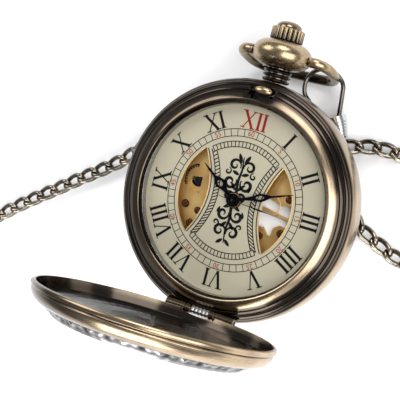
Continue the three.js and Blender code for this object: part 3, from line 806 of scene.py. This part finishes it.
def numeral(text, height):
    """A Roman numeral from thick and thin strokes with flat serifs, centred on its own origin."""
    thick, thin, serif = 0.15 * height, 0.06 * height, 0.06 * height
    h = height / 2
    bars, x = [], 0.0
    for letter in text:
        if letter == "I":
            width = 0.34 * height
            centre = x + width / 2
            bars.append(((centre, -h), (centre, h), thick))
            feet = [(centre, 0.27), (centre, -0.27)]
        else:
            width = 0.86 * height
            left, right, mid = x + 0.15 * height, x + width - 0.13 * height, x + width / 2
            if letter == "V":
                bars += [((left, h), (mid, -h), thick), ((right, h), (mid + 0.02, -h), thin)]
                feet = [(left, 0.34), (right, 0.26)]
            else:
                bars += [((left, h), (right, -h), thick), ((right, h), (left, -h), thin)]
                feet = [(left, 0.3), (right, 0.26), (left, -0.26), (right, -0.3)]
        for foot, span in feet:
            y = math.copysign(h - serif / 2, span)
            half = abs(span) * height / 2
            bars.append(((foot - half, y), (foot + half, y), serif))
        x += width if letter == "I" else width + 0.02 * height
    strokes = [stroke([Vector((*a, 0)), Vector((*b, 0))], w, PRINT_LOW, PRINT_HIGH + 0.004 * i)
               for i, (a, b, w) in enumerate(bars)]
    return moved(merge(*strokes), x=-x / 2)


def at_clock(part, r, degrees):
    """Places a part at a clock angle, with its foot towards the centre."""
    turn = -math.radians(degrees)
    return moved(part, x=-r * math.sin(turn), y=r * math.cos(turn), turn=turn)


def lettering(text, size):
    curve = bpy.data.curves.new("digits", "FONT")
    curve.body = text
    curve.size = size
    curve.align_x = "CENTER"
    curve.align_y = "CENTER"
    curve.extrude = 0.01
    points, faces = from_curve(curve)
    return [(x, y, z + DIAL_Z + 0.01) for x, y, z in points], faces


def circle_line(r, width, sides=180):
    return ring(r - width / 2, r + width / 2, PRINT_LOW, PRINT_HIGH, sides)


def printed(line, width):
    return stroke(line, width, PRINT_LOW, PRINT_HIGH)


def tick(r0, r1, angle, width):
    return printed([Vector(polar(r0, angle)), Vector(polar(r1, angle))], width)


def minute_track():
    """Two circles with a rung at each minute, except beside the figures."""
    parts = [circle_line(TRACK_IN, 0.15), circle_line(TRACK_OUT, 0.15)]
    for minute in range(60):
        if minute % 5:
            parts.append(tick(TRACK_IN, TRACK_OUT, TAU * minute / 60, 0.13))
    return merge(*parts)


def ladder_arcs():
    """Railway arcs above and below the centre panel."""
    parts = []
    span = math.radians(38)
    for middle_angle in (math.pi / 2, -math.pi / 2):
        for r in (LADDER_IN, LADDER_OUT):
            parts.append(printed(arc(r, middle_angle - span, middle_angle + span, 40), 0.17))
        for k in range(LADDER_RUNGS):
            angle = middle_angle - span + 2 * span * k / (LADDER_RUNGS - 1)
            parts.append(tick(LADDER_IN, LADDER_OUT, angle, 0.17))
    return merge(*parts)


def rope_borders():
    """The concave borders beside the windows, hatched like rope."""
    parts = []
    for flip in (False, True):
        for grow in (0.35, 1.12, 2.17):
            line = window_side(grow)
            parts.append(printed(mirrored(line) if flip else line, 0.19))
        outer, inner = window_side(1.12, 26), window_side(2.17, 26)
        for a, b in zip(outer, inner[1:]):
            pair = [a, b]
            parts.append(printed(mirrored(pair) if flip else pair, 0.2))
    return merge(*parts)


def curl(centre, r, start, turns, width):
    """A scroll that thickens in its middle and winds in on itself, from a start in degrees."""
    count = 36
    line = []
    for k in range(count + 1):
        t = k / count
        x, y, _ = polar(r * (1 - 0.78 * t), math.radians(start) + turns * TAU * t)
        line.append(Vector((centre[0] + x, centre[1] + y, 0)))
    return line, lambda t: SCROLL_WEIGHT * width * (0.35 + 0.65 * math.sin(math.pi * min(1.0, t * 1.15)))


def leaf(x, y, angle, length, width):
    a = Vector((x, y, 0))
    b = a + Vector(polar(length, angle))
    line = [a.lerp(b, k / 10) for k in range(11)]
    return line, lambda t: SCROLL_WEIGHT * width * math.sin(math.pi * (0.06 + 0.9 * t)) ** 0.8


def scroll_panel():
    """Mirrored acanthus scrolls on a central stem."""
    half = [curl((1.5, 6.6), 1.25, 200, -1.2, 0.42), curl((1.7, 3.3), 1.35, 150, 1.25, 0.5),
            curl((1.25, 0.6), 1.05, 210, -1.2, 0.42), curl((1.45, -2.9), 1.25, 160, 1.2, 0.48),
            curl((1.35, -6.2), 1.3, 200, -1.25, 0.45), curl((2.6, 5.2), 0.7, 90, 1.1, 0.28),
            curl((2.45, -4.9), 0.7, -90, -1.1, 0.28), leaf(0.3, 7.2, 1.1, 1.9, 0.55),
            leaf(0.3, 4.9, 0.35, 1.5, 0.5), leaf(0.3, 1.9, 0.9, 1.7, 0.5), leaf(0.3, -1.0, -0.5, 1.6, 0.5),
            leaf(0.3, -4.3, -0.9, 1.6, 0.5), leaf(0.2, -7.7, -0.7, 1.6, 0.5), leaf(2.4, 2.0, 1.4, 1.3, 0.35),
            leaf(2.3, -1.8, -1.2, 1.3, 0.35)]
    parts = []
    for line, width in half:
        parts += [printed(line, width), printed(mirrored(line), width)]
    stem = [Vector((0.12 * math.sin(1.3 * y), y, 0)) for y in (-8.4 + 16.8 * k / 30 for k in range(31))]
    parts.append(printed(stem, lambda t: 0.2 + 0.45 * math.sin(math.pi * t)))
    return merge(*parts)


def build_dial():
    plate = flat([circle(DIAL_R, sides=FINE), circle(1.6), window_outline(1), window_outline(-1)],
                 bottom("dial"), DIAL_Z)
    fit(shape("dial_plate", plate, DIAL_PAINT, soften=0.03), "root", "dial_paint", "dial")
    hours = ["I", "II", "III", "IIII", "V", "VI", "VII", "VIII", "IX", "X", "XI"]
    black = [at_clock(numeral(text, NUMERAL_H), NUMERAL_R, 30 * (i + 1)) for i, text in enumerate(hours)]
    black += [minute_track(), ladder_arcs(), rope_borders(), scroll_panel()]
    red = [at_clock(numeral("XII", NUMERAL_H), NUMERAL_R, 0)]
    red += [at_clock(lettering(str(5 * (i or 12)), FIGURE_H), FIGURE_R, 30 * i) for i in range(12)]
    fit(shape("dial_print_black", merge(*black), INK), "root", "dial_paint")
    fit(shape("dial_print_red", merge(*red), RED_INK), "root", "dial_paint")
    rims = []
    for side in (1, -1):
        edge = [Vector((*p, 0)) for p in window_outline(side)]
        rims.append(tube([p + Vector((0, 0, DIAL_Z - 0.02)) for p in edge], 0.1, 8, loop=True))
    fit(shape("dial_window_rims", merge(*rims), GILT_WHEEL), "root", "gilt")


build_dial()


# ---- hands ------------------------------------------------------------------------------------
def hand_blade(length, tail, leaf_width, opening):
    """A leaf hand with a pierced heart, along +Y."""
    stations = [(-tail, 0.25), (0.0, 0.42), (0.2, 0.3), (0.34, 0.55), (0.46, 1.0), (0.56, 0.6), (0.63, 0.24),
                (0.8, 0.2), (0.97, 0.08)]
    right = [(leaf_width * w / 2, f * length if f > 0 else f) for f, w in stations]
    outline = right + [(0, length)] + [(-x, y) for x, y in reversed(right)]
    hole = [(opening * leaf_width * math.cos(a), length * (0.45 + 0.07 * math.sin(a)))
            for a in (TAU * k / 20 for k in range(20))]
    return [outline, hole] if opening else [outline]


def build_hand(name, node, body, clock, length, tail, width, hub, opening):
    low, high = bottom(node), top(node)
    blade = flat(hand_blade(length, tail, width, opening), low, high)
    boss = ring(0.2, hub, low, high + 0.05)
    part = moved(merge(blade, boss), turn=-math.radians(clock))
    fit(shape(name, part, BLUED, soften=0.03), body, "blued", node)


build_hand("hand_hours", "hour_hand", "hour", -54.2, 9.3, 0.5, 2.1, 1.3, 0.24)
build_hand("hand_minutes", "minute_hand", "centre", 70.2, 12.3, 0.5, 1.7, 1.05, 0.2)
build_hand("hand_seconds", "seconds_hand", "seconds", 94, 12.1, 3.2, 0.34, 0.7, 0)


# ---- movement ---------------------------------------------------------------------------------
def build_plate():
    holes = [circle(1.2), circle(5.4, (-9.4, 0.6)), circle(5.7, (BALANCE.x, BALANCE.y)),
             circle(1.2, (0, 12.9))]
    plate = flat([circle(18.1, sides=FINE), *holes], PLATE_LOW, PLATE_TOP)
    fit(shape("plate_main", plate, GILT_PLATE, soften=0.12), "root", "gilt", "main_plate")


def slotted_screw(x, y, z, r, turn):
    """A screw's head, and a dark bar on it for its slot: painted shade, as the slot is not cut."""
    head = lathe([(0, z), (r, z), (r, z + 0.28), (0.85 * r, z + 0.4), (0, z + 0.42)], 32)
    slot = block((-0.86 * r, -0.07, z + 0.37), (0.86 * r, 0.07, z + 0.43))
    return moved(head, x=x, y=y), moved(slot, x=x, y=y, turn=turn)


def build_dial_side():
    """Gilded bridges just under the dial windows, over a pale painted disc on the right that stands in for
    the white light seen through the movement.
    """
    low, high = PLATE_TOP + 0.5, PLATE_TOP + 1.3
    left_side = arc(16.5, math.radians(118), math.radians(242), 40)
    left = [p[:2] for p in left_side] + [(-5.0, -9.5), (-4.7, 0), (-5.0, 9.5)]
    sector = [(-9.9, 2.2), (-7.8, 2.5), (-7.8, -0.8), (-9.2, -0.25), (-10.05, 0.9)]
    slot = [p[:2] for p in arc(8.4, math.radians(131), math.radians(150), 8)
            + arc(5.9, math.radians(150), math.radians(131), 8)]
    notch = [p[:2] for p in arc(3.0, math.radians(100), math.radians(215), 12, (-8.6, 1.9))
             + arc(2.3, math.radians(215), math.radians(100), 12, (-8.6, 1.9))]
    upper = [(4.8, 2.7), (7.4, 1.8), (9.0, 1.4), (12.5, 2.0), (16, 3.0), (11, 12), (5, 11)]
    lower = [(5.0, -9.5), (5.2, -3.6), (6.6, -3.4), (7.6, -4.6), (8.3, -4.9), (8.6, -3.0), (9.6, -2.3),
             (11.2, -2.5), (14, -3.2), (12, -9)]
    arm = [(5.6, -0.5), (11.6, -1.25), (11.6, -0.75), (5.6, 0.35)]
    hoop = arc(1.9, math.radians(-60), math.radians(200), 24, (7.0, 0.9))
    plates = [flat([left, sector, slot, notch], low, high), flat([upper], low, high),
              flat([lower], low, high), flat([arm], low + 0.2, high - 0.2),
              tube([p + Vector((0, 0, high)) for p in hoop], 0.12, 8)]
    fit(shape("bridges_dial_side", merge(*plates), GILT_PLATE, soften=0.1), "root", "gilt")
    # Painted light: a pale matt disc stands in for the white light seen through the open movement.
    base = flat([circle(5.2, (9.3, -0.4))], low - 0.35, low - 0.1)
    fit(shape("painted_see_through_disc", base, PAINTED_SEE_THROUGH_WHITE), "root", "steel")
    grey = flat([circle(4.2, (-8.6, 2.4))], low - 0.35, low - 0.1)
    fit(shape("ratchet_cover", grey, GUNMETAL), "root", "steel")
    teeth = wheel(30, 2.75, 0.4, high - 0.5, high - 0.2, 1.5)
    fit(shape("setting_wheel", moved(teeth, x=-8.6, y=1.9), GILT_WHEEL, soften=0.02), "root", "gilt")
    spots = [(-9.95, -3.31, 0.62, 0.4), (-7.11, -3.96, 0.55, 1.2), (-8.09, -6.69, 0.62, 2.0),
             (10.24, 2.91, 0.55, 0.9), (10.25, -3.69, 0.6, 2.5), (6.4, -5.2, 0.5, 0.3)]
    heads, slots = zip(*[slotted_screw(x, y, high, r, turn) for x, y, r, turn in spots])
    # Painted shade: thin black rings round the heads, for the shade at their edges.
    sinks = [ring(r, r + 0.16, high, high + 0.1, 32) for _, _, r, _ in spots]
    sinks = [moved(sink, x=spot[0], y=spot[1]) for sink, spot in zip(sinks, spots)]
    fit(shape("bridge_screws", merge(*heads), SCREW_BROWN), "root", "screw")
    fit(shape("bridge_screw_slots", merge(*slots, *sinks), INK), "root", "screw")


build_plate()
build_dial_side()
refinish(GILT_PLATE, "barrel_bridge", "train_bridge", "balance_cock")
refinish(GILT_WHEEL, "hour_wheel", "minute_wheel", "centre_wheel", "third_wheel", "fourth_wheel",
         "escape_wheel", "balance_wheel", "barrel", "hinge_pin")
refinish(STEEL, "cannon_pinion", "mainspring", "barrel_arbor", "ratchet_wheel", "crown_wheel", "click",
         "winding_pinion", "sliding_clutch", "winding_stem", "pallet_fork", "balance_staff")
refinish(BLUED, "hairspring")
refinish(SCREW_BROWN, "ratchet_screw", "crown_wheel_screw", "bow_screw_right", "bow_screw_left")


# ---- pendant, crown and bow -------------------------------------------------------------------
def fluted(low, high, r, depth, flutes):
    """A solid along +Z whose side is fluted all round, as on the crown."""
    points = []
    rows = [(low, 0.9), (low + 0.25, 1.0), (high - 0.25, 1.0), (high, 0.9)]
    count = flutes * 8
    for z, scale in rows:
        for k in range(count):
            wave = abs(math.sin(math.pi * k * flutes / count)) ** 0.6
            points.append(polar(scale * (r - depth + depth * wave), TAU * k / count, z))
    last = (len(rows) - 1) * count
    return points, skin(len(rows), count) + [list(range(count)), list(range(last, last + count))]


def build_pendant():
    neck = [(1.0, 23.6)]
    for k in range(3):
        low = 23.6 + 0.93 * k
        neck += [(2.15, low), (2.6, low + 0.14), (2.75, low + 0.4), (2.6, low + 0.66), (2.15, low + 0.8)]
    neck += [(2.15, 26.4), (1.0, 26.4)]
    ribbed = shape("neck", lathe(neck, 64), STEEL_DARK, STEM, sharp=math.radians(50))
    fit(ribbed, "root", "bronze", "pendant_neck")
    ball = [(1.0, 26.45), (3.0, 26.45), (3.9, 26.7), (4.9, 27.25), (5.5, 28.0), (5.8, 28.9), (5.72, 29.8),
            (5.3, 30.6), (4.6, 31.2), (3.8, 31.6), (3.5, 31.4), (3.4, 30.9), (1.0, 30.9)]
    knob = shape("ball", lathe(ball, 96), BRONZE_ROD, STEM, soften=0.05)
    flats = [block((x, -9, 26), (x + 1.4, 9, 32)) for x in (-7.0, 5.6)]
    cut_away(knob, *flats)
    paint_patina_and_shade(knob, lambda p: 1.0 if math.hypot(p.x, p.y) < 3.55 else 0.0)
    fit(knob, "root", "bronze", "pendant_ball")
    collar = lathe([(0, 31.05), (2.9, 31.05), (3.15, 31.4), (3.2, 31.6), (3.0, 31.9), (0, 31.9)], 64)
    grip = merge(fluted(31.7, 34.3, 3.25, 0.42, 20), collar)
    crown = shape("crown_grip", grip, BRONZE_ROD, STEM, soften=0.04)
    paint_patina_and_shade(crown, lambda p: 1.0 if p.z < 31.95 or math.hypot(p.x, p.y) < 3.05 and p.z < 34.2 else 0.0)
    fit(crown, "crown", "bronze", "crown")
    dome = [(0, 34.32), (2.5, 34.32), (2.48, 34.5), (2.35, 34.85), (2.0, 35.2), (1.5, 35.45), (0.9, 35.62),
            (0, 35.7)]
    cap = shape("crown_dome", lathe(dome, 64), BRONZE_ROD, STEM)
    paint_patina_and_shade(cap, lambda p: 0.45)
    fit(cap, "crown", "bronze", "crown_cap")


def build_bow():
    half = [(5.95, 0), (7.2, 0.15), (8.4, 1.2), (9.1, 3.2), (9.2, 6.2), (8.9, 9.0), (7.7, 11.2), (5.2, 12.2)]
    knots = [(x, y, 0) for x, y in half] + [(0, 12.35, 0)] + [(-x, y, 0) for x, y in reversed(half)]
    wire = tube(smooth_line(knots, 6), 1.0, 20)
    bow = shape("bow_wire", wire, BRONZE_ROD, BOW)
    # Painted dark reflection: the bow grows darker away from its pivot, over the bar at its far end.
    paint_patina_and_shade(bow, lambda p: 0.9 * min(1.0, max(0.0, (p.y - 5) / 6)))
    fit(bow, "bow", "bronze", "bow")


build_pendant()
build_bow()


def build_latch():
    """A rounded push button over a dark slot."""
    half = [(0, -0.35), (1.3, -0.3), (1.42, 0), (1.3, 0.25), (0.95, 0.55), (0.45, 0.72), (0, 0.75)]
    points, faces = lathe(half, SMALL)
    oval = [(1.3 * x, 0.65 * y, z) for x, y, z in points]
    knob = moved((oval, faces), x=0.5, y=21.35, z=12.5)
    stem = block((-1.0, 20.35, 11.7), (2.0, 21.6, 12.3))
    latch = shape("latch_button", merge(knob, stem), BRONZE_ROD, soften=0.06)
    # Painted shade: the stem under the knob is black, for the shade in the slot.
    paint_patina_and_shade(latch, lambda p: 1.0 if p.z < 12.4 else 0.0)
    fit(latch, "latch", "bronze", "latch_tongue")


build_latch()
refinish(GREY_RING, "hinge_spring")


# ---- cover ------------------------------------------------------------------------------------
COVER_Z = 13.3
RELIEF_R = 18.7


def bell(value, centre, width):
    return math.exp(-((value - centre) / width) ** 2)


def relief(r, a):
    """Height 0 to 1 of the embossed pattern: a rosette, swirling leaves and a beaded edge."""
    rosette = (0.5 + 0.5 * math.cos(12 * a)) * bell(r, 3.6, 1.6)
    inner_leaf = (0.5 + 0.5 * math.cos(10 * (a + 0.13 * r))) ** 2 * bell(r, 8.6, 1.6)
    outer_leaf = (0.5 + 0.5 * math.cos(16 * (a - 0.11 * r))) ** 2 * bell(r, 12.4, 1.5)
    vein = (0.5 + 0.5 * math.cos(48 * (a - 0.11 * r))) * 0.25 * bell(r, 12.4, 1.6)
    beads = (0.5 + 0.5 * math.cos(72 * a)) * bell(r, 16.0, 0.55)
    border = (0.5 + 0.5 * math.sin(40 * a) * math.sin(17 * a)) * bell(r, 18.4, 0.8)
    ridges = sum(bell(r, centre, width) for centre, width in
                 ((6.3, 0.22), (10.5, 0.2), (14.7, 0.25), (17.2, 0.3), (0, 0.9)))
    return min(1.0, rosette + inner_leaf + outer_leaf + vein + beads + border + 0.8 * ridges)


def dome_height(r):
    """Outer face of the cover plate above the rim plane."""
    knots = [(0, 6.0), (12, 5.8), (17.2, 5.25), (18.7, 4.1)]
    for (r0, h0), (r1, h1) in zip(knots, knots[1:]):
        if r <= r1:
            return h0 + (h1 - h0) * (r - r0) / (r1 - r0)
    return knots[-1][1]


def build_relief():
    rings, sectors, raised = 84, 432, 0.6
    points = []
    for i in range(1, rings + 1):
        r = RELIEF_R * i / rings
        fade = min(1.0, 0.6 + (RELIEF_R - r) / 0.6)
        for k in range(sectors):
            high = relief(r, TAU * k / sectors) * fade
            points.append(polar(r, TAU * k / sectors, COVER_Z + dome_height(r) - raised * (1 - high)))
    faces = skin(rings, sectors)
    centre = len(points)
    points.append((0, 0, COVER_Z + dome_height(0)))
    faces += [[centre, k, (k + 1) % sectors] for k in range(sectors)]
    edge = len(points)
    points += [polar(RELIEF_R, TAU * k / sectors, COVER_Z + 3.1) for k in range(sectors)]
    last = (rings - 1) * sectors
    faces += [[last + k, last + (k + 1) % sectors, edge + (k + 1) % sectors, edge + k]
              for k in range(sectors)]
    faces.append(list(range(edge, edge + sectors)))
    plate = shape("cover_relief", (points, faces), RELIEF, COVER, sharp=math.radians(60))
    paint_patina_and_shade(plate, lambda p: 1 - relief(math.hypot(p.x, p.y), math.atan2(p.y, p.x)))
    fit(plate, "cover", "relief", "cover_relief_plate")


def build_cover():
    z = COVER_Z
    rim = [(21.15, z), (21.45, z), (21.7, z + 0.08), (21.88, z + 0.35), (21.88, z + 0.6),
           (21.78, z + 0.92), (21.5, z + 1.08), (21.46, z + 1.2), (21.6, z + 1.42), (21.5, z + 1.85),
           (21.2, z + 2.4), (20.7, z + 3.0), (20.2, z + 3.3), (19.6, z + 3.58), (19.1, z + 3.68),
           (18.9, z + 3.6), (18.9, z + 3.2), (20.0, z + 2.7), (20.85, z + 2.0), (21.05, z + 1.0)]
    body = shape("cover_ring", lathe(rim), BRONZE, COVER, soften=0.05)
    cut_away(body, rod_x(1.35, -3.15, 3.15, HINGE.y, HINGE.z))

    # Painted shade: black on the inner wall and in the narrow channel round the rim, and darker towards -x,
    # the side the light leaves dark.
    def painted_cover_shade(p):
        inside = math.hypot(p.x, p.y) < 21.1 and p.z < z + 2.8
        in_groove = abs(p.z - z - 1.12) < 0.1
        return 1.0 if inside or in_groove else 0.8 * min(1.0, max(0.0, 0.45 - 1.1 * p.x / CASE_R))

    paint_patina_and_shade(body, painted_cover_shade)
    fit(body, "cover", "bronze", "cover_rim")
    knuckles = []
    for x0, x1 in ((3.15, 7.1), (-7.1, -3.15)):
        knuckles += [rod_x(1.05, x0, x1, HINGE.y, HINGE.z), block((x0, -22.1, 13.35), (x1, -20.8, 14.1))]
    knuckles = shape("cover_knuckles", merge(*knuckles), BRONZE_ROD, COVER, soften=0.08)
    paint_patina_and_shade(knuckles, lambda p: 0.7)
    fit(knuckles, "cover", "bronze")
    inner = [(0, z + 1.95), (19.9, z + 1.95), (20.35, z + 2.0), (20.35, z + 2.15), (0, z + 2.15)]
    fit(shape("cover_lining", lathe(inner), GUILLOCHE, COVER), "cover", "gunmetal", "cover_inner_plate")


build_relief()
build_cover()


# ---- floor, lights ----------------------------------------------------------------------------
def build_stage():
    points = [(-900, -900, TABLE_Z), (900, -900, TABLE_Z), (900, 900, TABLE_Z), (-900, 900, TABLE_Z)]
    shape("floor", (points, [[0, 1, 2, 3]]), FLOOR)


def area_light(name, place, aim, size, watts):
    data = bpy.data.lights.new(name, "AREA")
    data.size = size * MM
    data.energy = watts
    lamp = bpy.data.objects.new(name, data)
    bpy.context.scene.collection.objects.link(lamp)
    lamp.location = Vector(place) * MM
    lamp.rotation_euler = (Vector(aim) - Vector(place)).to_track_quat("-Z", "Y").to_euler()


def build_world():
    world = bpy.data.worlds.new("studio")
    world.use_nodes = True
    world.node_tree.nodes["Background"].inputs["Color"].default_value = (0.9, 0.93, 1.0, 1)
    world.node_tree.nodes["Background"].inputs["Strength"].default_value = 0.34
    bpy.context.scene.world = world
    bpy.context.scene.view_settings.view_transform = "Standard"


build_stage()
build_world()
area_light("softbox_left", (-260, 160, 260), (0, 0, 5), 220, 0.7)
area_light("softbox_right", (300, -40, 340), (0, 0, 5), 400, 2.3)
area_light("softbox_far", (60, 330, 240), (0, 0, 5), 220, 0.9)
area_light("softbox_near", (-20, -340, 170), (0, -10, 20), 260, 1.5)

# ---- last update ------------------------------------------------------------------------------
bpy.context.view_layer.update()
